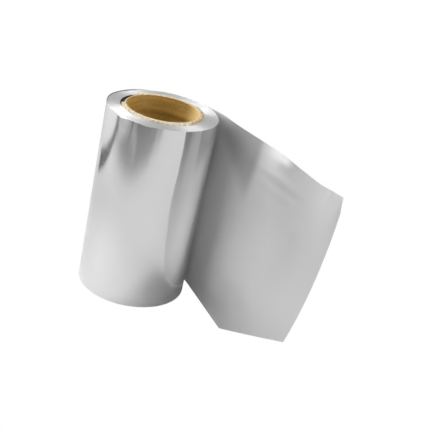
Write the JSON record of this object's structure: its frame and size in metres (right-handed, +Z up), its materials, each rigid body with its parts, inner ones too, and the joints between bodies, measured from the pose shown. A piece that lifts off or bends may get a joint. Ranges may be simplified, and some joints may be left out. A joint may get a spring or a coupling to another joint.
{
  "type": "aluminium foil roll",
  "caption": "Upright roll of plain aluminium foil wound on an open paper core, with a loose tail standing on its edge beside it.",
  "frame": {"origin": "centre of the core's bore at the roll's lower end face, which stands on the floor", "axes": "+Z up the core's bore, +X to the side where the loose tail runs off, -Y towards the front, where the tail ends"},
  "size_m": [0.2483, 0.2013, 0.2075],
  "materials": {
    "kraft_core": "wound kraft paper with a slightly fibrous cut rim, matt",
    "foil_metal": "bright rolled outer face, satin inner face, ringed wound end faces"
  },
  "bodies": {
    "root": {"paper_core": "kraft_core", "foil": "foil_metal"}
  },
  "joints": []
}
